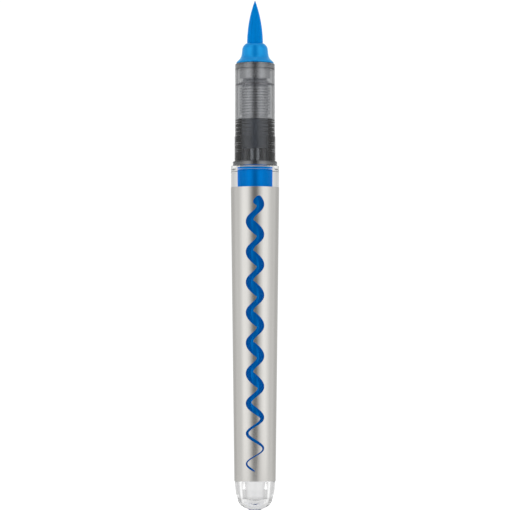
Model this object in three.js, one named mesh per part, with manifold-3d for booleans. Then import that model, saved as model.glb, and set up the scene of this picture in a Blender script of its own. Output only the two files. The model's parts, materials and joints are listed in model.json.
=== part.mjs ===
// A liquid-ink brush pen without its cap: a thick clear barrel full of ink, a smoke-tinted
// grip section with finned ink regulators inside it, and a nylon brush in a blue holder.
// Millimetres, +Z from the tail to the brush tip. Heights below are counted from the tail;
// the whole pen is then lowered so that the origin is in the middle of the grip.
import * as THREE from 'three';
import * as BufferGeometryUtils from 'three/addons/utils/BufferGeometryUtils.js';
import Module from 'manifold-3d';

const wasm = await Module();
wasm.setup();

// ---- driving dimensions -------------------------------------------------------------------
const LENGTH = 137.0;            // tail to brush tip
const BODY_RADIUS = 6.5;         // barrel at its mouth
const BODY_TAIL_RADIUS = 5.535;  // barrel where the print ends, near the tail
const GRIP_MIDDLE = 106.0;       // height of the origin
const OUTER_SIDES = 36;          // facets round the outer pieces
const INNER_SIDES = 24;          // facets round the hidden pieces
const WICK_SIDES = 14;
const GAP = 0.05;                // assembly gap between coaxial pieces

// barrel
const TAIL_JOINT = 7.72;         // barrel's tail end, under the print's lower edge
const TAPER_TOP = 86.1;          // the barrel is straight above this height
const PRINT_TOP = 86.3;
const SEAT_TOP = 92.18;          // the lip that a cap closes against
const FLANGE_RECESS = 91.95;
const SEAL_SEAT = 91.68;
const PRINT_DEPTH = 0.10;        // thickness of the printed skin
const BORE_TOP_RADIUS = 3.16;
const BORE_TAIL_RADIUS = 2.80;
const GROOVE_HEIGHT = 91.0;      // fine line turned round the mouth
const GROOVE_DEPTH = 0.08;

// tail
const TONGUE = { inner: 3.50, outer: 4.20, top: 9.2 };
const TAIL_RADIUS = 5.38;
const DOME_RADIUS = 4.70;
const DOME_TOP = 3.1;
const TAIL_FLAT_RADIUS = 1.5;
const STOPPER = { bottom: 7.97, top: 9.3 };

// grip section
const FLANGE = { radius: 5.98, bottom: 92.0, top: 93.35 };
const LOWER_GRIP_RADIUS = 5.51;
const GRIP_STEP = 100.1;
const GRIP_RADIUS = 5.38;
const GRIP_TOP = 119.75;
const GRIP_CORNER = 0.3;
const LIP_LINE = { height: 118.2, depth: 0.06 };  // fine line turned below the lip
const GRIP_BORE = 4.70;
const RIM_BORE = 4.45;
const RIM_BOTTOM = 118.4;
const WICK_RADIUS = 0.60;
const WICK_BORE = 0.68;

// brush and holder
const HOLDER_TOP = 125.23;
const HOLDER_BORE = 2.35;
const ROOT_RADIUS = 1.97;
const BRUSH_BASE_RADIUS = 2.15;  // widest radius of the brush's bullet shape
const BRUSH_LENGTH = 12.5;       // length over which the bullet shape closes to a point
const BRUSH_FULLNESS = 2.2;      // 1 is a cone, and higher is rounder
const BALL_RADIUS = 2.12;
const POINT_JOINT = 130.3;
const POINT_BALL_RADIUS = 1.50;
const POINT_SEAT_RADIUS = 1.60;

// window in the print: one brush stroke that waves from bold to fine
const STROKE = { top: 83.3, end: 10.4, reach: 2.45, waves: 9, bold: 2.1, fine: 0.45, contrast: 0.3 };

// ---- materials ----------------------------------------------------------------------------
const finish = (color, roughness, metalness = 0, opacity = 1) => new THREE.MeshStandardMaterial(
  { color, roughness, metalness, opacity, transparent: opacity < 1 });

const clearPlastic = finish(0xdfdfdc, 0.08, 0, 0.35);
const smokePlastic = finish(0x6f7276, 0.12, 0, 0.55);
const darkPlastic = finish(0x3a3c40, 0.35);
const silverPrint = finish(0xc9c7c2, 0.32, 0.8);
const blueInk = finish(0x0058b8, 0.15);
const bluePlastic = finish(0x0080d2, 0.35);
const blueNylon = finish(0x0070cc, 0.6);
const sealRubber = finish(0xd8d8d4, 0.6);

// ---- shape helpers ------------------------------------------------------------------------
// Points of an arc about (r, z), from one angle to another, in degrees from the +r direction.
function arc(r, z, radius, from, to, steps) {
  return Array.from({ length: steps + 1 }, (_, i) => {
    const a = THREE.MathUtils.degToRad(from + (to - from) * i / steps);
    return [r + radius * Math.cos(a), z + radius * Math.sin(a)];
  });
}

// A solid of revolution about Z. The profile runs up the outside and comes down the inside.
function turned(profile, sides) {
  const points = profile.map(([r, z]) => new THREE.Vector2(r, z));
  return new THREE.LatheGeometry(points, sides).rotateX(Math.PI / 2);
}

// A profile that closes on itself, for a piece with a hole through it.
const ring = (profile) => [...profile, profile[0]];

function toManifold(geometry) {
  const bare = geometry.clone();
  bare.deleteAttribute('normal');
  bare.deleteAttribute('uv');
  const merged = BufferGeometryUtils.mergeVertices(bare, 1e-5);
  const vertProperties = new Float32Array(merged.attributes.position.array);
  const triVerts = new Uint32Array(merged.index.array);
  return new wasm.Manifold(new wasm.Mesh({ numProp: 3, vertProperties, triVerts }));
}

function toGeometry(solid) {
  const { vertProperties, triVerts } = solid.getMesh();
  const geometry = new THREE.BufferGeometry();
  geometry.setAttribute('position', new THREE.BufferAttribute(vertProperties, 3));
  geometry.setIndex(new THREE.BufferAttribute(triVerts, 1));
  geometry.computeVertexNormals();
  return geometry;
}

const pen = new THREE.Group();
pen.position.z = -GRIP_MIDDLE;

function add(name, geometry, material) {
  const mesh = new THREE.Mesh(geometry, material);
  mesh.name = name;
  pen.add(mesh);
}

// ---- radii that follow a rule -------------------------------------------------------------
const taper = (BODY_RADIUS - BODY_TAIL_RADIUS) / (TAPER_TOP - TAIL_JOINT);
const boreTaper = (BORE_TOP_RADIUS - BORE_TAIL_RADIUS) / (SEAL_SEAT - STOPPER.top);
const bodyRadius = (z) => BODY_RADIUS - taper * Math.max(0, TAPER_TOP - z);
const boreRadius = (z) => BORE_TAIL_RADIUS + boreTaper * Math.max(0, z - STOPPER.top);

// The brush is a bullet.
function brushRadius(z) {
  const left = 1 - Math.min(1, (LENGTH - z) / BRUSH_LENGTH);
  return BRUSH_BASE_RADIUS * (1 - left ** BRUSH_FULLNESS);
}

// ---- barrel and tail ----------------------------------------------------------------------
function barrel() {
  const skin = PRINT_DEPTH + 0.8 * GAP;
  const corner = 0.3;
  return turned(ring([
    [BORE_TAIL_RADIUS, TAIL_JOINT],
    [TONGUE.inner - GAP, TAIL_JOINT], [TONGUE.inner - GAP, TONGUE.top + GAP],
    [TONGUE.outer + GAP, TONGUE.top + GAP], [TONGUE.outer + GAP, TAIL_JOINT],
    [bodyRadius(TAIL_JOINT) - skin, TAIL_JOINT],
    [BODY_RADIUS - skin, TAPER_TOP], [BODY_RADIUS - skin, PRINT_TOP + GAP],
    [BODY_RADIUS, PRINT_TOP + GAP],
    [BODY_RADIUS, GROOVE_HEIGHT - GROOVE_DEPTH], [BODY_RADIUS - GROOVE_DEPTH, GROOVE_HEIGHT],
    [BODY_RADIUS, GROOVE_HEIGHT + GROOVE_DEPTH],
    ...arc(BODY_RADIUS - corner, SEAT_TOP - corner, corner, 0, 90, 3),
    [FLANGE.radius + GAP, SEAT_TOP], [FLANGE.radius + GAP, FLANGE_RECESS],
    [4.15, FLANGE_RECESS], [4.15, SEAL_SEAT],
    [BORE_TOP_RADIUS, SEAL_SEAT], [BORE_TAIL_RADIUS, STOPPER.top],
  ]), OUTER_SIDES);
}

// A clear thimble whose tongue goes up into the barrel's tail.
function tailCap() {
  const top = TAIL_JOINT - GAP;
  const dome = Array.from({ length: 8 }, (_, i) => {
    const start = Math.asin(TAIL_FLAT_RADIUS / DOME_RADIUS);
    const a = start + (Math.PI / 2 - start) * i / 7;
    return [DOME_RADIUS * Math.sin(a), DOME_TOP * (1 - Math.cos(a))];
  });
  dome[0][1] = 0;
  const cavityEnd = arc(0, 5.3, 3.2, -37.5, -90, 3);
  cavityEnd[3][0] = 0;
  return turned([
    [0, 0], ...dome, [4.98, 4.3], [5.2, 5.4], [TAIL_RADIUS, top],
    [TONGUE.outer, top], [TONGUE.outer, TONGUE.top], [TONGUE.inner, TONGUE.top],
    [TONGUE.inner, top], [2.78, top], ...cavityEnd,
  ], OUTER_SIDES);
}

function boreStopper() {
  const radius = BORE_TAIL_RADIUS - GAP;
  return turned([
    [0, STOPPER.bottom], [radius - 0.2, STOPPER.bottom], [radius, STOPPER.bottom + 0.2],
    [radius, STOPPER.top], [0, STOPPER.top],
  ], INNER_SIDES);
}

function sealRing() {
  return turned(ring([
    [3.25, SEAL_SEAT + 0.03], [4.08, SEAL_SEAT + 0.03],
    [4.08, FLANGE.bottom - 0.03], [3.25, FLANGE.bottom - 0.03],
  ]), INNER_SIDES);
}

// The charge of ink, with a dimple that the wick dips into.
function inkFill() {
  const bottom = STOPPER.top + GAP;
  const top = SEAL_SEAT - GAP;
  const dimple = { radius: WICK_RADIUS + GAP, bottom: 87.9 };
  return turned([
    [0, bottom], [boreRadius(bottom) - GAP, bottom], [boreRadius(top) - GAP, top],
    [dimple.radius, top], [dimple.radius, dimple.bottom], [0, dimple.bottom],
  ], INNER_SIDES);
}

// ---- print --------------------------------------------------------------------------------
// Middle line and half width of the waving stroke, t from 0 at its bold top to 1 at its fine end.
// As from a tilted brush, it is broad where it runs down to the right and narrow coming back.
function strokeAt(t) {
  const thin = THREE.MathUtils.smoothstep(t, 0.62, 0.95);
  const mean = THREE.MathUtils.lerp(STROKE.bold, STROKE.fine, thin);
  const phase = 2 * Math.PI * STROKE.waves * t;
  const width = mean * (1 + STROKE.contrast * Math.cos(phase));
  const middle = new THREE.Vector2(
    (STROKE.reach - mean / 2) * Math.sin(phase),
    THREE.MathUtils.lerp(STROKE.top, STROKE.end, t));
  return { middle, half: width / 2 };
}

function strokeOutline(stepsPerWave) {
  const steps = STROKE.waves * stepsPerWave;
  const left = [];
  const right = [];
  for (let i = 0; i <= steps; i += 1) {
    const t = i / steps;
    const ahead = strokeAt(t + 0.001).middle;
    const behind = strokeAt(t - 0.001).middle;
    const along = ahead.sub(behind).normalize();
    const { middle, half } = strokeAt(t);
    left.push(new THREE.Vector2(middle.x - along.y * half, middle.y + along.x * half));
    right.unshift(new THREE.Vector2(middle.x + along.y * half, middle.y - along.x * half));
  }
  return [...left, ...right];
}

function printSleeve() {
  const inner = (z) => bodyRadius(z) - PRINT_DEPTH;
  const sleeve = turned(ring([
    [inner(TAIL_JOINT), TAIL_JOINT], [BODY_TAIL_RADIUS, TAIL_JOINT],
    [BODY_RADIUS, TAPER_TOP], [BODY_RADIUS, PRINT_TOP],
    [inner(PRINT_TOP), PRINT_TOP], [inner(TAPER_TOP), TAPER_TOP],
  ]), OUTER_SIDES);
  const stroke = new THREE.ExtrudeGeometry(new THREE.Shape(strokeOutline(10)),
    { depth: 2 * BODY_RADIUS, bevelEnabled: false }).rotateX(Math.PI / 2);
  return toGeometry(toManifold(sleeve).subtract(toManifold(stroke)));
}

// ---- grip section -------------------------------------------------------------------------
function gripHousing() {
  return turned(ring([
    [GRIP_BORE, FLANGE.bottom], [FLANGE.radius - 0.1, FLANGE.bottom],
    [FLANGE.radius, FLANGE.bottom + 0.1], [FLANGE.radius, FLANGE.top - 0.12],
    [FLANGE.radius - 0.12, FLANGE.top], [LOWER_GRIP_RADIUS, FLANGE.top],
    [LOWER_GRIP_RADIUS, GRIP_STEP - 0.1], [GRIP_RADIUS, GRIP_STEP + 0.1],
    [GRIP_RADIUS, LIP_LINE.height - LIP_LINE.depth],
    [GRIP_RADIUS - LIP_LINE.depth, LIP_LINE.height],
    [GRIP_RADIUS, LIP_LINE.height + LIP_LINE.depth],
    ...arc(GRIP_RADIUS - GRIP_CORNER, GRIP_TOP - GRIP_CORNER, GRIP_CORNER, 0, 90, 3),
    [RIM_BORE, GRIP_TOP], [RIM_BORE, RIM_BOTTOM], [GRIP_BORE, RIM_BOTTOM],
  ]), OUTER_SIDES);
}

// One narrow slot round a finned piece: in from the rim to the root and out again.
const slot = (z, width, rim, root) => [
  [rim, z - width / 2], [root, z - width / 2], [root, z + width / 2], [rim, z + width / 2]];

// A block from one corner to the other.
function block([x0, y0, z0], [x1, y1, z1]) {
  return new THREE.BoxGeometry(x1 - x0, y1 - y0, z1 - z0)
    .translate((x0 + x1) / 2, (y0 + y1) / 2, (z0 + z1) / 2);
}

// What is cut from one side of the rear regulator, turned about Z to the side it is for: a flat,
// a deep pocket that bares the stem and a web beside it, and two shallow pockets with a rib between.
function regulatorCut(turn, bottom, top) {
  const out = GRIP_BORE + 1;
  const flat = 3.05;
  const web = 0.25;
  const shallow = { depth: 0.4, bottom: 97.2, top: 99.85 };
  const cut = (from, to) => toManifold(block(from, to).rotateZ(turn));
  const stem = toManifold(turned([[0, 92.8], [2.24, 92.8], [2.24, 97.8], [0, 97.8]], INNER_SIDES));
  const deepPocket = cut([-3.35, web, bottom + 0.1], [3.35, out, 96.85]).subtract(stem);
  const pocket = (inner, outer) => cut(
    [inner, flat - shallow.depth, shallow.bottom], [outer, out, shallow.top]);
  return cut([-out, flat, bottom], [out, out, top])
    .add(deepPocket).add(pocket(-3.2, -1.3)).add(pocket(1.3, 3.2));
}

// Rear regulator: a base that closes the section, and above it a stack cut by narrow slots.
function inkRegulator() {
  const base = { bottom: FLANGE.bottom, top: 93.2 };
  const rim = GRIP_BORE - 0.06;
  const stack = { top: 104.65 };
  const socket = { radius: 1.65, bottom: 103.5 };
  const fineSlots = [95.88, 96.42, 97.77, 98.31].map((z) => [z, 0.14, 4.2]);
  const wideSlots = [100.22, 101.32, 102.4, 103.46, 104.14].map((z) => [z, 0.22, 3.2]);
  const body = toManifold(turned(ring([
    [WICK_BORE, base.bottom], [rim, base.bottom],
    ...[...fineSlots, ...wideSlots].flatMap(([z, width, root]) => slot(z, width, rim, root)),
    [rim, stack.top], [socket.radius, stack.top], [socket.radius, socket.bottom],
    [WICK_BORE, socket.bottom],
  ]), INNER_SIDES));
  const front = regulatorCut(Math.PI, base.top, stack.top + 1);
  const back = regulatorCut(0, base.top, stack.top + 1);
  return toGeometry(body.subtract(front).subtract(back));
}

// Front regulator: a comb of fine fins, a conical collar and a rib that centre it, and a cup for
// the holder.
function overflowFins() {
  const base = { bottom: 104.7, top: 105.1, radius: 4.5 };
  const spigot = { radius: 1.6, bottom: 103.55 };
  const fin = { count: 10, first: 106.0, pitch: 0.755, thickness: 0.36, radius: 4.22, root: 3.5 };
  const collar = { radius: GRIP_BORE - 0.06, bottom: 113.55, top: 115.5 };
  const head = { radius: 4.15, bottom: 115.65, top: 119.7 };
  const rib = { radius: GRIP_BORE - 0.06, bottom: 118.15, top: 118.3 };
  const cup = { radius: 3.0, bottom: 115.7 };
  const fins = Array.from({ length: fin.count }, (_, i) => {
    const z = fin.first + i * fin.pitch;
    return [[fin.root, z], [fin.radius, z], [fin.radius, z + fin.thickness], [fin.root, z + fin.thickness]];
  }).flat();
  return turned(ring([
    [WICK_BORE, spigot.bottom], [spigot.radius, spigot.bottom], [spigot.radius, base.bottom],
    [base.radius, base.bottom], [base.radius, base.top], [fin.root, base.top], ...fins,
    [fin.root, collar.bottom], [collar.radius, collar.bottom + 0.25],
    [collar.radius, collar.bottom + 0.65], [fin.root, collar.top], [fin.root, head.bottom],
    [head.radius, head.bottom], [head.radius, rib.bottom], [rib.radius, rib.bottom],
    [rib.radius, rib.top], [head.radius, rib.top], [head.radius, head.top],
    [cup.radius, head.top], [cup.radius, cup.bottom], [WICK_BORE, cup.bottom],
  ]), INNER_SIDES);
}

function feedWick() {
  return turned([[0, 88.0], [WICK_RADIUS, 88.0], [WICK_RADIUS, 115.65], [0, 115.65]], WICK_SIDES);
}

// ---- brush --------------------------------------------------------------------------------
function nibHolder() {
  const spigot = { radius: 2.92, bottom: 116.55 };
  const bore = ROOT_RADIUS + GAP;
  const body = turned(ring([
    [bore, spigot.bottom], [spigot.radius, spigot.bottom], [spigot.radius, GRIP_TOP + GAP],
    [4.95, GRIP_TOP + GAP], [5.06, 119.95], [4.98, 120.15], [4.74, 120.45], [4.3, 120.9],
    [3.98, 121.25], [3.78, 121.6], [3.68, 122.0], [3.58, 122.5], [3.49, 123.1], [3.42, 123.8],
    [3.32, 124.25], [3.06, 124.65], [2.75, 124.98], [2.55, HOLDER_TOP - 0.05],
    [HOLDER_BORE + 0.08, HOLDER_TOP], [HOLDER_BORE, HOLDER_TOP - 0.1],
    [HOLDER_BORE, 122.9], [bore, 122.9],
  ]), OUTER_SIDES);
  let solid = toManifold(body);
  for (const turn of [0, 90, 180, 270]) {
    const channel = new THREE.BoxGeometry(0.6, 0.6, 2.6).translate(spigot.radius, 0, 117.8)
      .rotateZ(THREE.MathUtils.degToRad(turn + 45));
    solid = solid.subtract(toManifold(channel));
  }
  return toGeometry(solid);
}

function brushRoot() {
  const flange = { radius: 2.55, bottom: 115.75, top: 116.45 };
  return turned([
    [0, flange.bottom], [flange.radius, flange.bottom], [flange.radius, flange.top],
    [ROOT_RADIUS, flange.top], [ROOT_RADIUS, 122.6], [ROOT_RADIUS - 0.2, 122.8], [0, 122.8],
  ], INNER_SIDES);
}

// Lower half of the free brush: a ball that turns in the holder's mouth, and a cup at its top.
function brushBelly() {
  const ball = arc(0, HOLDER_TOP, BALL_RADIUS, -90, 0, 6);
  ball[0][0] = 0;
  const cupRim = POINT_JOINT - 0.8;
  const wall = [126.5, 127.6, 128.7, cupRim].map((z) => [brushRadius(z), z]);
  const rimAngle = THREE.MathUtils.radToDeg(Math.asin(0.8 / POINT_SEAT_RADIUS));
  const cup = arc(0, POINT_JOINT, POINT_SEAT_RADIUS, -rimAngle, -90, 4);
  cup[4][0] = 0;
  return turned([...ball, ...wall, ...cup], INNER_SIDES);
}

// Upper half: a ball in that cup and the pointed end of the bullet.
function brushPoint() {
  const ball = arc(0, POINT_JOINT, POINT_BALL_RADIUS, -90, 0, 5);
  ball[0][0] = 0;
  const shoulder = POINT_JOINT + 0.3;
  const wall = Array.from({ length: 7 }, (_, i) => {
    const z = THREE.MathUtils.lerp(shoulder, LENGTH, i / 7);
    return [brushRadius(z), z];
  });
  return turned([...ball, ...wall, [0, LENGTH]], INNER_SIDES);
}

add('barrel', barrel(), clearPlastic);
add('tail_cap', tailCap(), clearPlastic);
add('bore_stopper', boreStopper(), clearPlastic);
add('print_sleeve', printSleeve(), silverPrint);
add('ink_fill', inkFill(), blueInk);
add('seal_ring', sealRing(), sealRubber);
add('grip_housing', gripHousing(), smokePlastic);
add('ink_regulator', inkRegulator(), darkPlastic);
add('overflow_fins', overflowFins(), darkPlastic);
add('feed_wick', feedWick(), blueNylon);
add('nib_holder', nibHolder(), bluePlastic);
add('brush_root', brushRoot(), blueNylon);
add('brush_belly', brushBelly(), blueNylon);
add('brush_point', brushPoint(), blueNylon);

export default pen;
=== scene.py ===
"""An uncapped brush pen: clear ink-filled barrel, silver printed skin, smoke-tinted grip, nylon brush.

Heights are millimetres above the tail and radii are millimetres from the pen's axis, as a turner
would read them off a drawing. up() and MM turn them into the frame's metres.
"""
import json
import math

import bmesh
import bpy
from mathutils import Matrix, Vector


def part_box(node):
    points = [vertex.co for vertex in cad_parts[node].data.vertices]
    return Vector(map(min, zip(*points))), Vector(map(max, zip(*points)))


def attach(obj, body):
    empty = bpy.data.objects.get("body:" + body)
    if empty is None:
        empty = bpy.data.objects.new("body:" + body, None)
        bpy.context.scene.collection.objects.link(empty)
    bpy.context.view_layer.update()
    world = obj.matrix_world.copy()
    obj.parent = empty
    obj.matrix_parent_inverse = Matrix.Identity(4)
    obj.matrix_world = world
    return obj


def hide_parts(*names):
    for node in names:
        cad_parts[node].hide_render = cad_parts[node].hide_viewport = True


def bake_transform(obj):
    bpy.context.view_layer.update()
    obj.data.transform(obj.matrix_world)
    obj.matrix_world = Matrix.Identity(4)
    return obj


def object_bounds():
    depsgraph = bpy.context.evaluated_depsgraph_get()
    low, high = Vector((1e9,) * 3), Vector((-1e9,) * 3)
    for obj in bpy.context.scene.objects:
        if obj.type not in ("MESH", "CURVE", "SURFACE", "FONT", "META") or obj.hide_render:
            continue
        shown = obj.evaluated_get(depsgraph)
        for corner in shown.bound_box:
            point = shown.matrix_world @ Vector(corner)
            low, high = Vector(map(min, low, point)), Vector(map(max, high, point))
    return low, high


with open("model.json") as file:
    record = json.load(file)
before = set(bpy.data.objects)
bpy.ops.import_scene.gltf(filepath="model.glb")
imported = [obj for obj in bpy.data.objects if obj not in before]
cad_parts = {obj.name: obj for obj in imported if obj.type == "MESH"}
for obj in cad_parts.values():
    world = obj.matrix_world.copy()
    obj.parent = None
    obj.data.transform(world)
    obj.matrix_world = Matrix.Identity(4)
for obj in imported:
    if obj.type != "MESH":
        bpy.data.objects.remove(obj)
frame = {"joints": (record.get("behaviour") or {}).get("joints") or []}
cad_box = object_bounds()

MM = 0.001
TAIL_Z = cad_box[0][2]
SIDES = 144          # facets round a turned piece
INNER_SIDES = 96     # facets round a piece seen through another
SHARP_TURN = math.radians(40)


def up(height):
    """World Z of a height above the tail, in millimetres."""
    return TAIL_Z + height * MM


def height_of(node, end):
    """Lowest (0) or highest (1) height of a CAD node, in millimetres above the tail."""
    return (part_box(node)[end].z - TAIL_Z) / MM


def radius_of(node):
    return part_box(node)[1].y / MM


joint_height = {j["name"]: (j["pos_m"][2] - TAIL_Z) / MM for j in frame["joints"]}

# ---- sizes --------------------------------------------------------------------------------
LENGTH = height_of("brush_point", 1)
BODY_RADIUS = radius_of("barrel")
BODY_TAIL_RADIUS = 5.535
TAIL_JOINT = height_of("barrel", 0)
TAPER_TOP = 86.1
PRINT_TOP = height_of("print_sleeve", 1)
SEAT_TOP = height_of("barrel", 1)
FLANGE_BOTTOM = height_of("grip_housing", 0)
GRIP_TOP = height_of("grip_housing", 1)
HOLDER_TOP = height_of("nib_holder", 1)
STOPPER_TOP = height_of("bore_stopper", 1)
PRINT_DEPTH = 0.10
BORE_TOP_RADIUS = 3.16
BORE_TAIL_RADIUS = 2.80
SEAL_SEAT = 91.68
FLANGE_RECESS = 91.95
GROOVE_HEIGHT = 91.0         # of the fine line round the barrel's mouth
TONGUE_TOP = 9.2             # of the tail's ring that stands in the end of the barrel
WICK_BORE = 0.68
GRIP_BORE = 4.70
WETTED = GRIP_BORE + 0.005   # radius of what touches the housing through a film of ink

# grip section, from its flange up
FLANGE_TOP = 93.35
LOWER_GRIP_RADIUS = 5.51
GRIP_RADIUS = 5.38
GRIP_STEP = 100.1
LIP_LINE = 118.2
RIM_BOTTOM = 118.4
REGULATOR_BASE_TOP = 93.2
POCKET_TOP = 96.85           # of the deep pocket that bares the stem
REGULATOR_TOP = 104.65
STEM_RADIUS = 2.24
REGULATOR_FLAT = 3.05        # from the axis to each flat
ROOT_TOP = 122.8

# the brush is a bullet: a fullness of 1 is a cone, and higher is rounder
BRUSH_BASE_RADIUS = 2.15
BRUSH_LENGTH = 12.5
BRUSH_FULLNESS = 2.2
ROOT_JOINT = joint_height["brush_root_bend"]
POINT_JOINT = joint_height["brush_point_bend"]
BRUSH_CUT = (ROOT_JOINT + POINT_JOINT) / 2

# one brush stroke, waving from bold to fine, is left clear in the print
STROKE = dict(top=83.3, end=10.4, reach=2.45, waves=9, bold=2.1, fine=0.45, contrast=0.3)


def body_radius(height):
    slope = (BODY_RADIUS - BODY_TAIL_RADIUS) / (TAPER_TOP - TAIL_JOINT)
    return BODY_RADIUS - slope * max(0, TAPER_TOP - height)


def bore_radius(height):
    slope = (BORE_TOP_RADIUS - BORE_TAIL_RADIUS) / (SEAL_SEAT - STOPPER_TOP)
    return BORE_TAIL_RADIUS + slope * max(0, height - STOPPER_TOP)


def brush_radius(height):
    left = 1 - min(1, (LENGTH - height) / BRUSH_LENGTH)
    return BRUSH_BASE_RADIUS * (1 - left ** BRUSH_FULLNESS)


# ---- turned meshes ------------------------------------------------------------------------
def fillet(before, corner, after, radius, steps=5):
    """Points of the arc that rounds one corner of a profile."""
    into, out = (before - corner), (after - corner)
    room = 0.48 * min(into.length, out.length)
    into.normalize()
    out.normalize()
    half = into.angle(out) / 2
    reach = min(radius / math.tan(half), room)
    radius = reach * math.tan(half)
    centre = corner + (into + out).normalized() * (radius / math.sin(half))
    first, last = corner + into * reach - centre, corner + out * reach - centre
    turn = first.angle_signed(last)
    return [centre + Matrix.Rotation(-turn * i / steps, 2) @ first for i in range(steps + 1)]


def soften(profile, closed):
    """Each (radius, height, fillet) corner becomes an arc, and each (radius, height) stays sharp."""
    corners = [Vector(p[:2]) for p in profile]
    points = []
    for i, p in enumerate(profile):
        at_end = not closed and i in (0, len(profile) - 1)
        if len(p) == 2 or at_end:
            points.append(corners[i])
        else:
            points += fillet(corners[i - 1], corners[i], corners[(i + 1) % len(corners)], p[2])
    return points


def edge_normals(points, closed):
    """Normal of each stretch of a profile at its two ends, smooth across gentle turns."""
    count = len(points) if closed else len(points) - 1
    steps = [points[(i + 1) % len(points)] - points[i] for i in range(count)]
    flat = [Vector((s.y, -s.x)) for s in steps]

    def shared(i, j):
        if not (closed or 0 <= j < count):
            return flat[i].normalized()
        other = flat[j % count]
        gentle = flat[i].angle(other) < SHARP_TURN
        return (flat[i] + other).normalized() if gentle else flat[i].normalized()

    return [(shared(i, i - 1), shared(i, i + 1)) for i in range(count)]


def turned_mesh(name, profile, closed, sides=SIDES):
    """A solid of revolution whose profile runs up the outside and comes down the inside."""
    points = soften(profile, closed)
    normals = edge_normals(points, closed)
    turns = [2 * math.pi * k / sides for k in range(sides)]
    verts, rings = [], []
    for r, z in points:
        on_axis = r < 1e-6
        rings.append((len(verts), on_axis))
        around = [(0, 0)] if on_axis else [(math.sin(a), -math.cos(a)) for a in turns]
        verts += [(r * MM * x, r * MM * y, up(z)) for x, y in around]
    faces, loops = [], []
    for i, (low, high) in enumerate(normals):
        (a, a_axis), (b, b_axis) = rings[i], rings[(i + 1) % len(rings)]
        for k in range(sides):
            n = (k + 1) % sides
            corners = [(a, k, low), (a, n, low), (b, n, high), (b, k, high)]
            if a_axis:
                corners = [(a, 0, low), (b, n, high), (b, k, high)]
            elif b_axis:
                corners = [(a, k, low), (a, n, low), (b, 0, high)]
            faces.append([start + j for start, j, _ in corners])
            for (start, j, normal), at in zip(corners, corner_turns(corners, k, n, turns)):
                loops.append((normal.x * math.sin(at), -normal.x * math.cos(at), normal.y))
    mesh = bpy.data.meshes.new(name)
    mesh.from_pydata(verts, [], faces)
    mesh.polygons.foreach_set("use_smooth", [True] * len(faces))
    mesh.normals_split_custom_set(loops)
    return mesh


def corner_turns(corners, k, n, turns):
    """Angle round the axis of each corner of a face, where a point on the axis takes the middle."""
    middle = turns[k] + math.pi / len(turns)
    if len(corners) == 4:
        return [turns[k], turns[n], turns[n], turns[k]]
    first = corners[0][1] == 0 and corners[2][1] == k
    return [middle, turns[n], turns[k]] if first else [turns[k], turns[n], middle]


def piece(name, mesh, material, nodes, body="pen"):
    """Puts a finished mesh in the scene as a named piece of the pen."""
    mesh.materials.clear()
    mesh.materials.append(material)
    obj = bpy.data.objects.new(name, mesh)
    bpy.context.scene.collection.objects.link(obj)
    if body:
        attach(obj, body)
    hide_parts(*nodes)
    return obj


def turned(name, profile, material, node, closed=True, sides=SIDES):
    return piece(name, turned_mesh(name, profile, closed, sides), material, [node])


def linked(tree, kind, operation=None, **inputs):
    """A node with its inputs set or linked; numbered inputs are given as _0, _1 and so on."""
    made = tree.nodes.new(kind)
    if operation:
        made.operation = operation
    for key, value in inputs.items():
        socket = made.inputs[int(key[1:])] if key[0] == "_" else made.inputs[key.replace("_", " ")]
        if isinstance(value, bpy.types.NodeSocket):
            tree.links.new(value, socket)
        else:
            socket.default_value = value
    return made


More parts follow.
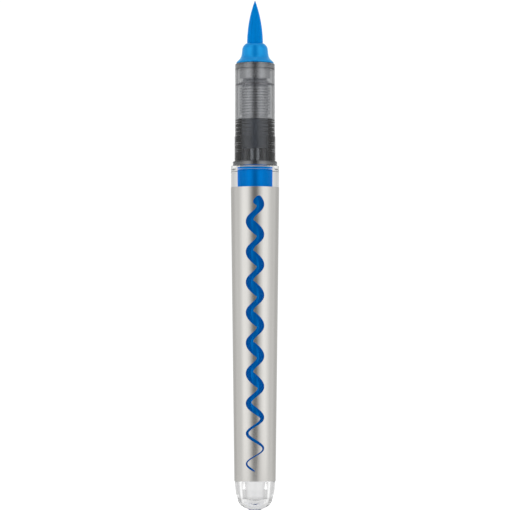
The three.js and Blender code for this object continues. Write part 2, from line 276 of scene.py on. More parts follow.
# ---- materials ----------------------------------------------------------------------------
class Finish:
    """A Principled material, with short ways to add the variation that a real surface has."""

    def __init__(self, name, colour, roughness, **sockets):
        self.material = bpy.data.materials.new(name)
        self.material.use_nodes = True
        self.tree = self.material.node_tree
        self.shader = self.tree.nodes["Principled BSDF"]
        self.shader.inputs["Base Color"].default_value = (*colour, 1)
        self.shader.inputs["Roughness"].default_value = roughness
        for socket, value in sockets.items():
            self.shader.inputs[socket.replace("_", " ")].default_value = value

    def node(self, kind, **settings):
        made = self.tree.nodes.new(kind)
        for key, value in settings.items():
            setattr(made, key, value)
        return made

    def noise(self, scale, stretch=(1, 1, 1), detail=3.0):
        """Noise on the piece's own metres: scale is in features per metre."""
        place = self.node("ShaderNodeTexCoord")
        mapping = self.node("ShaderNodeMapping")
        mapping.inputs["Scale"].default_value = stretch
        noise = self.node("ShaderNodeTexNoise")
        noise.inputs["Scale"].default_value = scale
        noise.inputs["Detail"].default_value = detail
        self.tree.links.new(place.outputs["Object"], mapping.inputs["Vector"])
        self.tree.links.new(mapping.outputs["Vector"], noise.inputs["Vector"])
        return noise.outputs["Fac"]

    def between(self, value, low, high, start=0.3, stop=0.7):
        """Maps a noise value to a range of numbers."""
        ranged = self.node("ShaderNodeMapRange")
        for key, number in zip(("From Min", "From Max", "To Min", "To Max"), (start, stop, low, high)):
            ranged.inputs[key].default_value = number
        self.tree.links.new(value, ranged.inputs["Value"])
        return ranged.outputs["Result"]

    def tint(self, value, first, second, start=0.3, stop=0.7):
        """Base colour runs from first to second as a value grows."""
        ramp = self.node("ShaderNodeValToRGB")
        for element, colour, place in zip(ramp.color_ramp.elements, (first, second), (start, stop)):
            element.color = (*colour, 1)
            element.position = place
        self.tree.links.new(value, ramp.inputs["Fac"])
        self.tree.links.new(ramp.outputs["Color"], self.shader.inputs["Base Color"])
        return self

    def rough(self, value, low, high):
        self.tree.links.new(self.between(value, low, high), self.shader.inputs["Roughness"])
        return self

    def steeped(self, colour, density):
        """Darkens what shines through, by how far it goes inside."""
        steeped = self.node("ShaderNodeVolumeAbsorption")
        steeped.inputs["Color"].default_value = (*colour, 1)
        steeped.inputs["Density"].default_value = density
        self.tree.links.new(steeped.outputs[0], self.tree.nodes["Material Output"].inputs["Volume"])
        return self

    def bump(self, value, depth):
        bump = self.node("ShaderNodeBump")
        bump.inputs["Distance"].default_value = depth
        bump.inputs["Strength"].default_value = 1.0
        self.tree.links.new(value, bump.inputs["Height"])
        self.tree.links.new(bump.outputs["Normal"], self.shader.inputs["Normal"])
        return self


def from_axis(made):
    """Distance from the pen's axis."""
    place = made.node("ShaderNodeTexCoord").outputs["Object"]
    level = linked(made.tree, "ShaderNodeVectorMath", "MULTIPLY", _0=place, _1=(1, 1, 0)).outputs[0]
    return linked(made.tree, "ShaderNodeVectorMath", "LENGTH", _0=level).outputs["Value"]


def by_radius(made, stops, reach=5):
    """Colour by the distance from the axis, in mm: ink darkens what lies against the housing, and other
    stops carry painted shade and painted highlights.
    """
    share = made.between(from_axis(made), 0.0, 1.0, 0.0, reach * MM)
    shade = made.node("ShaderNodeValToRGB")
    elements = shade.color_ramp.elements
    for _ in stops[2:]:
        elements.new(0.5)
    for element, (radius, colour) in zip(elements, stops):
        element.position = radius / reach
        element.color = (*colour, 1)
    made.tree.links.new(share, shade.inputs["Fac"])
    made.tree.links.new(shade.outputs["Color"], made.shader.inputs["Base Color"])


def clear_plastic():
    made = Finish("clear_styrene", (0.955, 0.96, 0.955), 0.02, Transmission_Weight=1.0, IOR=1.49,
                  Specular_Tint=(0.05, 0.25, 0.45, 1))
    flow = made.noise(260, (1, 1, 0.12), detail=2.0)
    return made.rough(flow, 0.0, 0.05).bump(flow, 0.000004).material


def tail_plastic():
    """Clear at the wall, with painted shade: the base colour greys through the hollow, and more through
    the thick dome.
    """
    made = Finish("tail_styrene", (0.86, 0.86, 0.86), 0.08, Transmission_Weight=1.0, IOR=1.49)
    place = made.node("ShaderNodeTexCoord").outputs["Object"]
    height = linked(made.tree, "ShaderNodeSeparateXYZ", _0=place).outputs["Z"]
    # Painted shade: the base colour darkens inside 3.7 mm of the axis and below 3 mm above the tail.
    hollow = made.between(from_axis(made), 0.77, 0.98, 3.7 * MM, 4.3 * MM)
    dome = made.between(height, 0.70, 0.98, TAIL_Z + 3.0 * MM, TAIL_Z + 3.9 * MM)
    painted_tail_shade = linked(made.tree, "ShaderNodeMath", "MINIMUM", _0=hollow, _1=dome).outputs[0]
    made.tree.links.new(painted_tail_shade, made.shader.inputs["Base Color"])
    flow = made.noise(300, detail=2.0)
    return made.rough(flow, 0.05, 0.12).bump(flow, 0.000004).material


def smoke_plastic():
    made = Finish("smoke_styrene", (0.97, 0.97, 0.97), 0.03, Transmission_Weight=1.0, IOR=1.49)
    flow = made.noise(300, (1, 1, 0.15), detail=2.0)
    made.rough(flow, 0.01, 0.06).bump(flow, 0.000003)
    return made.steeped((0.49, 0.50, 0.51), 1110).material


def silver_print():
    made = Finish("silver_print", (0.75, 0.735, 0.705), 0.22, Metallic=1.0,
                  Specular_Tint=(0.6, 0.6, 0.6, 1))
    streaks = made.noise(900, (1, 1, 0.03), detail=4.0)
    made.tint(streaks, (0.73, 0.715, 0.685), (0.77, 0.755, 0.725))
    flakes = made.noise(5200, detail=2.0)
    return made.rough(flakes, 0.18, 0.26).bump(flakes, 0.0000015).material


def ink():
    """Wet ink: deep blue, with a blue sheen, and a painted glow, an emission that stands in for the light
    the wall would carry in.
    """
    # Painted light: the emission makes the ink glow evenly, standing in for light that the refracting
    # wall keeps from it.
    made = Finish("blue_ink", (0.0, 0.19, 0.60), 0.12, Metallic=0.5, IOR=1.05,
                  Specular_Tint=(0.0, 0.3, 0.6, 1),
                  Emission_Color=(0.0, 0.27, 1.0, 1), Emission_Strength=0.20)
    depth = made.noise(140, (1, 1, 0.2), detail=2.0)
    return made.tint(depth, (0.0, 0.18, 0.58), (0.0, 0.20, 0.62)).material


def comb_plastic():
    made = Finish("comb_smoke", (0.82, 0.83, 0.86), 0.24, Metallic=0.8)
    # Painted shade: the darker stop at the fin roots darkens the gaps between the fins. The dark stop at
    # the wall is where ink wets against the housing.
    by_radius(made, [(3.52, (0.72, 0.73, 0.76)), (3.66, (0.92, 0.93, 0.95)), (4.45, (0.86, 0.87, 0.90)),
                     (4.65, (0.50, 0.50, 0.53))])
    return made.rough(made.noise(500, (1, 1, 0.3)), 0.20, 0.28).material


def regulator_plastic():
    made = Finish("regulator_smoke", (0.33, 0.345, 0.37), 0.45)
    # Painted highlight: the bright stop inside 2.75 mm lights the web beside the stem. Outwards the
    # colour darkens a little, and the black stop at the wall is where ink wets against the housing.
    by_radius(made, [(2.75, (0.95, 0.97, 1.0)), (2.95, (0.28, 0.31, 0.37)), (4.42, (0.23, 0.25, 0.30)),
                     (4.6, (0.003, 0.004, 0.005))])
    return made.rough(made.noise(500, (1, 1, 0.3)), 0.40, 0.52).material


def stem_plastic():
    made = Finish("stem_smoke", (0.42, 0.44, 0.47), 0.2, Metallic=0.85)
    flow = made.noise(500)
    made.tint(flow, (0.39, 0.41, 0.44), (0.45, 0.47, 0.50))
    return made.rough(flow, 0.08, 0.14).material


def base_plastic():
    made = Finish("regulator_base_smoke", (0.92, 0.93, 0.95), 0.2, Metallic=1.0)
    flow = made.noise(500)
    made.tint(flow, (0.90, 0.91, 0.93), (0.94, 0.95, 0.97))
    return made.rough(flow, 0.05, 0.10).material


def blue_plastic():
    made = Finish("blue_moulding", (0.0, 0.225, 0.66), 0.22, Metallic=0.25, IOR=1.8,
                  Specular_IOR_Level=0.9, Specular_Tint=(0.15, 0.95, 0.95, 1))
    grain = made.noise(2600, detail=3.0)
    made.tint(made.noise(260), (0.0, 0.218, 0.64), (0.0, 0.232, 0.68))
    return made.rough(grain, 0.12, 0.18).bump(grain, 0.0000008).material


def seal_rubber():
    made = Finish("seal_rubber", (0.92, 0.92, 0.91), 0.5)
    return made.rough(made.noise(1500), 0.45, 0.6).material


def nylon(name, dark, light):
    """Ink-wet filaments: each carries its own tone in the attribute that the bundle gives it."""
    made = Finish(name, light, 0.5, Specular_IOR_Level=0.1, Specular_Tint=(0.0, 0.6, 1.0, 1))
    tone = made.node("ShaderNodeAttribute", attribute_name="tone")
    made.tint(tone.outputs["Fac"], dark, light, 0.0, 1.0)
    return made.rough(made.noise(3000, (1, 1, 0.05)), 0.42, 0.58).material


# ---- barrel and tail ----------------------------------------------------------------------
tail_clear = tail_plastic()


def barrel():
    skin, groove = PRINT_DEPTH + 0.03, 0.09
    flange = radius_of("grip_housing") + 0.05
    turned("barrel_wall", [
        (BORE_TAIL_RADIUS, TAIL_JOINT, 0.05),
        (3.45, TAIL_JOINT), (3.45, TONGUE_TOP + 0.05), (4.25, TONGUE_TOP + 0.05), (4.25, TAIL_JOINT),
        (BODY_TAIL_RADIUS - skin, TAIL_JOINT, 0.05),
        (BODY_RADIUS - skin, TAPER_TOP), (BODY_RADIUS - skin, PRINT_TOP + 0.03),
        (BODY_RADIUS, PRINT_TOP + 0.03, 0.03),
        (BODY_RADIUS, GROOVE_HEIGHT - groove, 0.02), (BODY_RADIUS - groove, GROOVE_HEIGHT),
        (BODY_RADIUS, GROOVE_HEIGHT + groove, 0.02),
        (BODY_RADIUS, SEAT_TOP, 0.32), (flange, SEAT_TOP, 0.04), (flange, FLANGE_RECESS),
        (4.15, FLANGE_RECESS), (4.15, SEAL_SEAT),
        (BORE_TOP_RADIUS, SEAL_SEAT), (BORE_TAIL_RADIUS, STOPPER_TOP),
    ], clear_plastic(), "barrel")


def tail_cap():
    top = TAIL_JOINT - 0.04
    dome_radius, dome_top, flat = 4.70, 3.1, 1.5
    hollow_radius, hollow_depth, floor_height = 2.54, 1.0, 2.1
    start = math.asin(flat / dome_radius)
    angles = [start + (math.pi / 2 - start) * i / 14 for i in range(15)]
    dome = [(dome_radius * math.sin(a), dome_top * (1 - math.cos(a))) for a in angles]
    dome[0] = (flat, 0)
    quarter = [math.pi / 2 * i / 8 for i in range(8)]
    hollow_end = [(hollow_radius * math.cos(a), floor_height + hollow_depth * (1 - math.sin(a)))
                  for a in quarter]
    turned("tail_thimble", [
        (0, 0), *dome, (4.98, 4.3, 1.0), (5.20, 5.4, 1.0), (5.38, top, 0.06),
        (4.20, top), (4.20, TONGUE_TOP, 0.1), (3.50, TONGUE_TOP, 0.1), (3.50, top), (2.78, top, 0.05),
        *hollow_end, (0, floor_height),
    ], tail_clear, "tail_cap", closed=False)


def bore_stopper():
    low, high = height_of("bore_stopper", 0), STOPPER_TOP
    radius = radius_of("bore_stopper")
    turned("bore_plug", [(0, low), (radius, low, 0.2), (radius, high), (0, high)],
           tail_clear, "bore_stopper", closed=False, sides=INNER_SIDES)


def seal_ring():
    low, high = height_of("seal_ring", 0), height_of("seal_ring", 1)
    turned("mouth_seal", [(3.25, low, 0.04), (4.08, low, 0.04), (4.08, high, 0.04), (3.25, high, 0.04)],
           seal_rubber(), "seal_ring", sides=INNER_SIDES)


def ink_fill():
    """The ink wets the bore, so its side is a hair inside the wall and the wall magnifies it."""
    wet = 0.01
    top = FLANGE_BOTTOM - 0.03
    turned("ink_charge", [
        (0, STOPPER_TOP + 0.01), (BORE_TAIL_RADIUS + wet, STOPPER_TOP + 0.01),
        (BORE_TOP_RADIUS + wet, SEAL_SEAT), (BORE_TOP_RADIUS + wet, top), (0, top),
    ], ink(), "ink_fill", closed=False, sides=INNER_SIDES)


# ---- cutting ------------------------------------------------------------------------------
def cut_out(mesh, cutters):
    """mesh less its cutters, as a new plain mesh."""
    scene = bpy.context.scene.collection
    whole = bpy.data.objects.new("whole", mesh)
    tools = [bpy.data.objects.new("tool", cutter) for cutter in cutters]
    for obj in (whole, *tools):
        scene.objects.link(obj)
    for tool in tools:
        modifier = whole.modifiers.new("cut", "BOOLEAN")
        modifier.object, modifier.operation, modifier.solver = tool, "DIFFERENCE", "EXACT"
    evaluated = whole.evaluated_get(bpy.context.evaluated_depsgraph_get())
    result = bpy.data.meshes.new_from_object(evaluated)
    for obj in (whole, *tools):
        bpy.data.objects.remove(obj)
    return result


def prism(outline, start, stop):
    """An outline in X and height, stretched along Y from start to stop."""
    count = len(outline)
    verts = [(x * MM, y * MM, up(z)) for y in (start, stop) for x, z in outline]
    faces = [list(range(count)), list(range(count, 2 * count))[::-1]]
    faces += [[(i + 1) % count, i, count + i, count + (i + 1) % count] for i in range(count)]
    mesh = bpy.data.meshes.new("prism")
    mesh.from_pydata(verts, [], faces)
    turned_out = bmesh.new()
    turned_out.from_mesh(mesh)
    bmesh.ops.recalc_face_normals(turned_out, faces=turned_out.faces)
    turned_out.to_mesh(mesh)
    turned_out.free()
    return mesh


# ---- print --------------------------------------------------------------------------------
def stroke_at(t):
    """Middle and half width of the waving stroke, t from 0 at its bold top to 1 at its fine end."""
    x = min(1, max(0, (t - 0.62) / 0.33))
    mean = STROKE["bold"] + (STROKE["fine"] - STROKE["bold"]) * x * x * (3 - 2 * x)
    phase = 2 * math.pi * STROKE["waves"] * t
    nearest_end = min(1, t / 0.008, max(0.0, 1 - t) / 0.012)
    rounding = math.sqrt(1 - (1 - nearest_end) ** 2)
    half = mean * (1 + STROKE["contrast"] * math.cos(phase)) / 2
    height = STROKE["top"] + (STROKE["end"] - STROKE["top"]) * t
    return Vector(((STROKE["reach"] - mean / 2) * math.sin(phase), height)), half * max(0.05, rounding)


def stroke_outline(steps_per_wave=44):
    steps = STROKE["waves"] * steps_per_wave
    places = [0.0005, 0.001, 0.002, 0.0035, 0.005] + [i / steps for i in range(3, steps - 4)]
    places += [1 - t for t in (0.010, 0.008, 0.006, 0.004, 0.0025, 0.0012, 0.0004, 0.0)]
    left, right = [], []
    for t in places:
        along = (stroke_at(t + 0.0005)[0] - stroke_at(t - 0.0005)[0]).normalized()
        middle, half = stroke_at(t)
        across = Vector((-along.y, along.x)) * half
        left.append(middle + across)
        right.append(middle - across)
    return left + right[::-1]


def round_normals(mesh, slope_at):
    """Normals of the skin's two faces follow the round body; its cut edges keep their own."""
    loops = [None] * len(mesh.loops)
    for face in mesh.polygons:
        for i in face.loop_indices:
            at = mesh.vertices[mesh.loops[i].vertex_index].co
            radial = Vector((at.x, at.y, 0)).normalized()
            radial.z = -slope_at(at.z)
            radial.normalize()
            facing = face.normal.dot(radial)
            loops[i] = radial * math.copysign(1, facing) if abs(facing) > 0.95 else face.normal
    mesh.polygons.foreach_set("use_smooth", [True] * len(mesh.polygons))
    mesh.normals_split_custom_set(loops)


def print_sleeve():
    inner = [(body_radius(z) - PRINT_DEPTH, z) for z in (PRINT_TOP, TAPER_TOP, TAIL_JOINT)]
    blank = turned_mesh("blank", [
        (BODY_TAIL_RADIUS, TAIL_JOINT), (BODY_RADIUS, TAPER_TOP), (BODY_RADIUS, PRINT_TOP), *inner,
    ], closed=True, sides=192)
    mesh = cut_out(blank, [prism([tuple(p) for p in stroke_outline()], -9, -1)])
    slope = (BODY_RADIUS - BODY_TAIL_RADIUS) / (TAPER_TOP - TAIL_JOINT)
    round_normals(mesh, lambda z: slope if z < up(TAPER_TOP) - 1e-5 else 0.0)
    mesh.name = "print_skin"
    piece("print_skin", mesh, silver_print(), ["print_sleeve"])


# ---- grip section -------------------------------------------------------------------------
def grip_housing():
    flange, rim, groove = radius_of("grip_housing"), 4.45, 0.07
    turned("grip_shell", [
        (GRIP_BORE, FLANGE_BOTTOM, 0.05), (flange, FLANGE_BOTTOM, 0.1), (flange, FLANGE_TOP, 0.14),
        (LOWER_GRIP_RADIUS, FLANGE_TOP, 0.08), (LOWER_GRIP_RADIUS, GRIP_STEP - 0.1, 0.06),
        (GRIP_RADIUS, GRIP_STEP + 0.1, 0.06),
        (GRIP_RADIUS, LIP_LINE - groove, 0.02), (GRIP_RADIUS - groove, LIP_LINE),
        (GRIP_RADIUS, LIP_LINE + groove, 0.02),
        (GRIP_RADIUS, GRIP_TOP, 0.3), (rim, GRIP_TOP, 0.1), (rim, RIM_BOTTOM, 0.04),
        (GRIP_BORE, RIM_BOTTOM, 0.08),
    ], smoke_plastic(), "grip_housing")


def slot_cut(height, width, rim, root):
    """One narrow slot round a stack: in from the rim to the root and out again."""
    low, high = height - width / 2, height + width / 2
    return [(rim, low, 0.03), (root, low), (root, high), (rim, high, 0.03)]


def block(x0, x1, depth, z0, z1, side):
    """A block that cuts in from one side (-1 front, 1 back) to a depth from the axis."""
    return prism([(x0, z0), (x1, z0), (x1, z1), (x0, z1)], side * depth, side * 6)


def regulator_cuts(side):
    """A flat, a deep pocket down to a web, and two shallow pockets."""
    web, shallow = 0.25, REGULATOR_FLAT - 0.4
    pocket_low, pocket_high = 97.2, 99.85
    return [
        block(-6, 6, REGULATOR_FLAT, REGULATOR_BASE_TOP, REGULATOR_TOP + 1, side),
        block(-3.35, 3.35, web, REGULATOR_BASE_TOP + 0.1, POCKET_TOP, side),
        block(-3.2, -1.3, shallow, pocket_low, pocket_high, side),
        block(1.3, 3.2, shallow, pocket_low, pocket_high, side),
    ]


def regulator_base():
    turned("regulator_base", [
        (WICK_BORE, FLANGE_BOTTOM, 0.05), (WETTED, FLANGE_BOTTOM, 0.05),
        (WETTED, REGULATOR_BASE_TOP, 0.05), (WICK_BORE, REGULATOR_BASE_TOP),
    ], base_plastic(), "ink_regulator", sides=INNER_SIDES)


def regulator_stem():
    bore = WICK_BORE + 0.1
    turned("regulator_stem", [
        (bore, REGULATOR_BASE_TOP), (STEM_RADIUS, REGULATOR_BASE_TOP, 0.05), (STEM_RADIUS, POCKET_TOP),
        (bore, POCKET_TOP),
    ], stem_plastic(), "ink_regulator", sides=INNER_SIDES)


def regulator_stack():
    socket, socket_radius = 103.5, 1.65
    slots = [(z, 0.14, 4.2) for z in (95.88, 96.42, 97.77, 98.31)]
    slots += [(z, 0.22, 3.2) for z in (100.22, 101.32, 102.4, 103.46, 104.14)]
    body = turned_mesh("regulator_stack", [
        (WICK_BORE, REGULATOR_BASE_TOP), (WETTED, REGULATOR_BASE_TOP),
        *(p for z, width, root in slots for p in slot_cut(z, width, WETTED, root)),
        (WETTED, REGULATOR_TOP, 0.06), (socket_radius, REGULATOR_TOP), (socket_radius, socket),
        (WICK_BORE, socket),
    ], closed=True, sides=INNER_SIDES)
    mesh = cut_out(body, regulator_cuts(-1) + regulator_cuts(1))
    mesh.polygons.foreach_set("use_smooth", [True] * len(mesh.polygons))
    mesh.set_sharp_from_angle(angle=math.radians(30))
    mesh.name = "regulator_stack"
    piece("regulator_stack", mesh, regulator_plastic(), ["ink_regulator"])


def overflow_comb():
    """Spigot and disc, ten fins, a conical collar, a rib, and the cup under the brush."""
    root, rim, pitch, thickness = 3.5, 4.22, 0.755, 0.36
    spigot, spigot_bottom, disc, disc_low, disc_high = 1.6, 103.55, 4.5, 104.7, 105.1
    waist, head, cup, head_bottom, head_top = 3.2, 4.15, 3.0, 115.65, 119.7
    lows = [106.0 + i * pitch for i in range(10)]
    fins = [p for z in lows for p in
            [(root, z), (rim, z, 0.05), (rim, z + thickness, 0.05), (root, z + thickness)]]
    turned("overflow_comb", [
        (WICK_BORE, spigot_bottom), (spigot, spigot_bottom, 0.1), (spigot, disc_low),
        (disc, disc_low, 0.06), (disc, disc_high, 0.06), (root, disc_high), *fins,
        (root, 113.55, 0.1), (WETTED, 113.8, 0.02), (WETTED, 114.2, 0.02), (waist, 115.4, 0.2),
        (waist, head_bottom), (head, head_bottom, 0.08), (head, 118.15), (WETTED, 118.17, 0.04),
        (WETTED, 118.3, 0.04), (head, 118.32), (head, head_top, 0.06), (cup, head_top, 0.05),
        (cup, 115.7), (WICK_BORE, 115.7),
    ], comb_plastic(), "overflow_fins", sides=INNER_SIDES)


def feed_wick():
    low, high, radius = height_of("feed_wick", 0), height_of("feed_wick", 1), radius_of("feed_wick")
    wet_fibre = nylon("wick_fibre", (0.0, 0.08, 0.30), (0.0, 0.11, 0.38))
    turned("feed_wick_rod", [(0, low), (radius, low, 0.1), (radius, high, 0.1), (0, high)],
           wet_fibre, "feed_wick", closed=False, sides=24)


# ---- holder and brush ---------------------------------------------------------------------
def nib_holder():
    """Spigot in the grip, flared foot, waisted body and a rounded rim round the brush."""
    bore, spigot, spigot_bottom, foot = 2.02, 2.92, 116.55, GRIP_TOP + 0.05
    mouth, mouth_bottom = 2.35, 122.9
    turned("brush_collar", [
        (bore, spigot_bottom, 0.1), (spigot, spigot_bottom, 0.15), (spigot, foot),
        (4.95, foot, 0.05), (5.07, 119.95, 0.08), (5.0, 120.2, 0.25), (4.62, 120.6, 0.5),
        (4.02, 121.2, 0.5), (3.72, 121.8, 0.6), (3.56, 122.6, 0.7), (3.42, 123.95, 0.5),
        (3.20, 124.5, 0.5), (2.78, 125.0, 0.4), (2.45, HOLDER_TOP, 0.12),
        (mouth, HOLDER_TOP - 0.05, 0.03), (mouth, mouth_bottom), (bore, mouth_bottom),
    ], blue_plastic(), "nib_holder")


def brush_root():
    flange, flange_bottom, flange_top, plug = 2.55, 115.75, 116.45, 1.97
    turned("brush_root_plug", [
        (0, flange_bottom), (flange, flange_bottom, 0.1), (flange, flange_top, 0.1),
        (plug, flange_top), (plug, ROOT_TOP, 0.15), (0, ROOT_TOP),
    ], nylon("root_fibre", (0.0, 0.12, 0.44), (0.0, 0.15, 0.52)), "brush_root",
        closed=False, sides=INNER_SIDES)


BUNDLE_SIZES = {
    "Count": ("NodeSocketInt", 100), "Strand Radius": ("NodeSocketFloat", 0.068 * MM),
    "Lower": ("NodeSocketFloat", 0.0), "Upper": ("NodeSocketFloat", 0.0),
    "Apex": ("NodeSocketFloat", up(LENGTH)),
    "Bullet Radius": ("NodeSocketFloat", BRUSH_BASE_RADIUS * MM),
    "Bullet Length": ("NodeSocketFloat", BRUSH_LENGTH * MM),
    "Fullness": ("NodeSocketFloat", BRUSH_FULLNESS),
    "Seed": ("NodeSocketInt", 11), "Material": ("NodeSocketMaterial", None),
}


def bundle_tree():
    """Strands stood in a ring and drawn in to the bullet's apex, as tubes that thin with it."""
    tree = bpy.data.node_groups.new("filament_bundle", "GeometryNodeTree")
    face = tree.interface
    face.new_socket("Geometry", in_out="OUTPUT", socket_type="NodeSocketGeometry")
    for name, (kind, value) in BUNDLE_SIZES.items():
        socket = face.new_socket(name, in_out="INPUT", socket_type=kind)
        if value is not None:
            socket.default_value = value
    size = tree.nodes.new("NodeGroupInput").outputs

    def maths(operation, a, b=0.0):
        return linked(tree, "ShaderNodeMath", operation, _0=a, _1=b).outputs[0]

    low = linked(tree, "ShaderNodeCombineXYZ", Z=size["Lower"]).outputs[0]
    high = linked(tree, "ShaderNodeCombineXYZ", Z=size["Upper"]).outputs[0]
    line = linked(tree, "GeometryNodeCurvePrimitiveLine", Start=low, End=high).outputs[0]
    strand = linked(tree, "GeometryNodeResampleCurve", Curve=line, Count=34).outputs[0]
    points = linked(tree, "GeometryNodePoints", Count=size["Count"]).outputs[0]
    index = tree.nodes.new("GeometryNodeInputIndex").outputs[0]
    turn = maths("MULTIPLY", maths("DIVIDE", index, size["Count"]), 2 * math.pi)
    dice = linked(tree, "FunctionNodeRandomValue", Seed=size["Seed"]).outputs[1]
    named = linked(tree, "GeometryNodeStoreNamedAttribute", Geometry=points, Name="turn", Value=turn)
    toned = linked(tree, "GeometryNodeStoreNamedAttribute", Geometry=named.outputs[0], Name="tone",
                   Value=dice)
    stood = linked(tree, "GeometryNodeInstanceOnPoints", Points=toned.outputs[0], Instance=strand)
    loose = linked(tree, "GeometryNodeRealizeInstances", Geometry=stood.outputs[0]).outputs[0]
    own_turn = linked(tree, "GeometryNodeInputNamedAttribute", Name="turn").outputs[0]
    tone = linked(tree, "GeometryNodeInputNamedAttribute", Name="tone").outputs[0]
    place = tree.nodes.new("GeometryNodeInputPosition").outputs[0]
    height = linked(tree, "ShaderNodeSeparateXYZ", _0=place).outputs[2]
    share = maths("DIVIDE", maths("SUBTRACT", size["Apex"], height), size["Bullet Length"])
    left = maths("SUBTRACT", 1.0, maths("MINIMUM", share, 1.0))
    fullness = maths("SUBTRACT", 1.0, maths("POWER", left, size["Fullness"]))
    sunk = maths("ADD", 1.0, maths("MULTIPLY", tone, 0.35))
    inset = maths("MULTIPLY", maths("MULTIPLY", size["Strand Radius"], sunk), fullness)
    reach = maths("SUBTRACT", maths("MULTIPLY", size["Bullet Radius"], fullness), inset)
    x = maths("MULTIPLY", reach, maths("COSINE", own_turn))
    y = maths("MULTIPLY", reach, maths("SINE", own_turn))
    spot = linked(tree, "ShaderNodeCombineXYZ", X=x, Y=y, Z=height).outputs[0]
    drawn = linked(tree, "GeometryNodeSetPosition", Geometry=loose, Position=spot).outputs[0]
    thin = maths("MAXIMUM", fullness, 0.012)
    sized = linked(tree, "GeometryNodeSetCurveRadius", Curve=drawn, Radius=thin).outputs[0]
    section = linked(tree, "GeometryNodeCurvePrimitiveCircle", Resolution=6, Radius=size["Strand Radius"])
    tubes = linked(tree, "GeometryNodeCurveToMesh", Curve=sized, Profile_Curve=section.outputs[0],
                   Scale=thin, Fill_Caps=True)
    whole = linked(tree, "GeometryNodeRealizeInstances", Geometry=tubes.outputs[0]).outputs[0]
    dressed = linked(tree, "GeometryNodeSetMaterial", Geometry=whole, Material=size["Material"])
    result = tree.nodes.new("NodeGroupOutput")
    tree.links.new(dressed.outputs[0], result.inputs[0])
    return tree


def filaments(tree, low, high, material):
    """The bundle between two heights, as a plain mesh."""
    host = bpy.data.objects.new("host", bpy.data.meshes.new("host"))
    bpy.context.scene.collection.objects.link(host)
    modifier = host.modifiers.new("bundle", "NODES")
    modifier.node_group = tree
    sockets = {s.name: s.identifier for s in tree.interface.items_tree if s.in_out == "INPUT"}
    modifier[sockets["Lower"]] = up(low)
    modifier[sockets["Upper"]] = up(high)
    modifier[sockets["Material"]] = material
    evaluated = host.evaluated_get(bpy.context.evaluated_depsgraph_get())
    mesh = bpy.data.meshes.new_from_object(evaluated)
    bpy.data.objects.remove(host)
    return mesh


def joined(name, meshes):
    """Several meshes as one."""
    whole = bmesh.new()
    for mesh in meshes:
        whole.from_mesh(mesh)
    made = bpy.data.meshes.new(name)
    whole.to_mesh(made)
    whole.free()
    made.polygons.foreach_set("use_smooth", [True] * len(made.polygons))
    return made


def brush_core(low, high):
    """The body of the bundle, under its outer strands."""
    steps, share = 24, 0.955
    heights = [low + (high - low) * i / steps for i in range(steps)]
    wall = [(share * brush_radius(z), z) for z in heights]
    end = [(0, high)] if high == LENGTH else [(share * brush_radius(high), high), (0, high)]
    return turned_mesh("core", [(0, low), *wall, *end], closed=False, sides=INNER_SIDES)


def brush():
    wet = nylon("wet_nylon", (0.0, 0.190, 0.55), (0.0, 0.230, 0.64))
    tree = bundle_tree()
    foot = ROOT_TOP + 0.25
    lower = joined("brush_lower_bundle", [
        filaments(tree, foot, BRUSH_CUT, wet), brush_core(foot + 0.05, BRUSH_CUT)])
    upper = joined("brush_upper_bundle", [
        filaments(tree, BRUSH_CUT, LENGTH, wet), brush_core(BRUSH_CUT, LENGTH)])
    base = piece("brush_lower_bundle", lower, wet, ["brush_belly"], body=None)
    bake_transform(base)
    tip = piece("brush_upper_bundle", upper, wet, ["brush_point"], body=None)
    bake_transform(tip)


barrel()
tail_cap()
bore_stopper()
seal_ring()
ink_fill()
print_sleeve()
grip_housing()
regulator_base()
regulator_stem()
regulator_stack()
overflow_comb()
feed_wick()
nib_holder()
brush_root()
brush()


# ---- studio -------------------------------------------------------------------------------
def seen_by_camera(tree):
    return tree.nodes.new("ShaderNodeLightPath").outputs["Is Camera Ray"]


FLOOR_REACH = 0.12           # half the width of the sheet, in metres
FLOOR_DROP = 0.03 * MM       # the sheet lies this far below the tail, so that the two never coincide


def floor():
    """A pale sheet, lit from below as well so that nothing under the pen goes dark."""
    made = Finish("pale_floor", (0.35, 0.35, 0.35), 0.9, Emission_Color=(1, 1, 1, 1))
    through = made.node("ShaderNodeLightPath").outputs["Is Transmission Ray"]
    seen = linked(made.tree, "ShaderNodeMath", "MAXIMUM", _0=seen_by_camera(made.tree), _1=through)
    glow = linked(made.tree, "ShaderNodeMath", "MULTIPLY_ADD", _0=seen.outputs[0], _1=0.55, _2=0.35)
    made.tree.links.new(glow.outputs[0], made.shader.inputs["Emission Strength"])
    made.rough(made.noise(40), 0.85, 0.95)
    mesh = bpy.data.meshes.new("floor")
    corners = [(x * FLOOR_REACH, y * FLOOR_REACH) for x, y in ((-1, -1), (1, -1), (1, 1), (-1, 1))]
    mesh.from_pydata([(x, y, TAIL_Z - FLOOR_DROP) for x, y in corners], [], [(0, 1, 2, 3)])
    mesh.materials.append(made.material)
    obj = bpy.data.objects.new("floor", mesh)
    bpy.context.scene.collection.objects.link(obj)


# brightness of the room by degrees from the front: a dim gap, two tall softboxes, a bright wall behind
ROOM = [(0, 0.16), (8, 0.18), (18, 0.46), (30, 0.82), (42, 1.02), (58, 1.04), (72, 0.82), (86, 0.68),
        (108, 0.69), (128, 0.60), (140, 0.68), (152, 0.88), (164, 1.03), (180, 1.05)]
# and how it dims towards the ceiling and the floor, by the sine of the height above level
DIMMING = [(0.0, 1.0), (0.25, 1.0), (0.7, 0.72), (1.0, 0.72)]
# how much stronger it falls on matt surfaces than it mirrors in glossy ones
FILL = 2.1


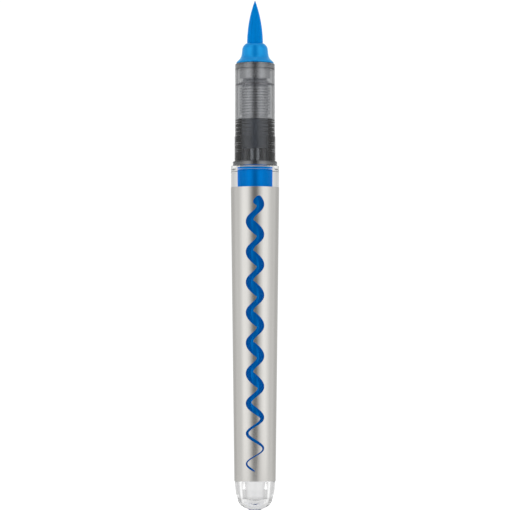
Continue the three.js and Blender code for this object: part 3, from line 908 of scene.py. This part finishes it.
def ramp(tree, value, stops):
    """Brightness that follows (place, level) stops, places from 0 to 1."""
    made = tree.nodes.new("ShaderNodeValToRGB")
    made.color_ramp.interpolation = "EASE"
    elements = made.color_ramp.elements
    elements[0].position, elements[1].position = stops[0][0], stops[-1][0]
    for place, _ in stops[1:-1]:
        elements.new(place)
    for element, (_, level) in zip(elements, stops):
        element.color = (level, level, level, 1)
    tree.links.new(value, made.inputs["Fac"])
    return made.outputs["Color"]


def room():
    """White to the camera, and to everything else a soft studio."""
    world = bpy.data.worlds.new("studio")
    bpy.context.scene.world = world
    world.use_nodes = True
    tree = world.node_tree
    place = tree.nodes.new("ShaderNodeTexCoord").outputs["Generated"]
    x, y, z = linked(tree, "ShaderNodeSeparateXYZ", _0=place).outputs
    sideways = linked(tree, "ShaderNodeMath", "ABSOLUTE", _0=x).outputs[0]
    ahead = linked(tree, "ShaderNodeMath", "MULTIPLY", _0=y, _1=-1.0).outputs[0]
    turn = linked(tree, "ShaderNodeMath", "ARCTAN2", _0=sideways, _1=ahead).outputs[0]
    share = linked(tree, "ShaderNodeMath", "DIVIDE", _0=turn, _1=math.pi).outputs[0]
    steep = linked(tree, "ShaderNodeMath", "ABSOLUTE", _0=z).outputs[0]
    around = ramp(tree, share, [(degrees / 180, level) for degrees, level in ROOM])
    above = ramp(tree, steep, DIMMING)
    soft = tree.nodes.new("ShaderNodeLightPath").outputs["Is Diffuse Ray"]
    fill = linked(tree, "ShaderNodeMath", "MULTIPLY_ADD", _0=soft, _1=FILL - 1, _2=1.0).outputs[0]
    mirrored = linked(tree, "ShaderNodeVectorMath", "MULTIPLY", _0=around, _1=above).outputs[0]
    studio = linked(tree, "ShaderNodeVectorMath", "MULTIPLY", _0=mirrored, _1=fill).outputs[0]
    lit = linked(tree, "ShaderNodeVectorMath", "MAXIMUM", _0=studio, _1=seen_by_camera(tree)).outputs[0]
    tree.links.new(lit, tree.nodes["Background"].inputs["Color"])


def camera():
    """A little below the middle and tilted up, so that rings high on the pen show from below."""
    aim = Vector((0, 0, up(LENGTH / 2 - 0.25)))
    tilt = math.radians(-2.75)
    distance = 0.80
    lens = bpy.data.cameras.new("camera")
    lens.sensor_width, lens.lens = 36.0, 210.3
    lens.clip_start, lens.clip_end = 0.01, 20
    obj = bpy.data.objects.new("camera", lens)
    away = Vector((0, -math.cos(tilt), math.sin(tilt)))
    obj.location = aim + away * distance
    obj.rotation_euler = away.to_track_quat("Z", "Y").to_euler()
    bpy.context.scene.collection.objects.link(obj)
    bpy.context.scene.camera = obj


def picture():
    scene = bpy.context.scene
    scene.view_settings.view_transform = "Standard"
    cycles = scene.cycles
    cycles.use_denoising = True
    cycles.max_bounces, cycles.transmission_bounces = 24, 20
    cycles.glossy_bounces, cycles.diffuse_bounces = 8, 4
    cycles.sample_clamp_indirect = 4.0


floor()
room()
camera()
picture()
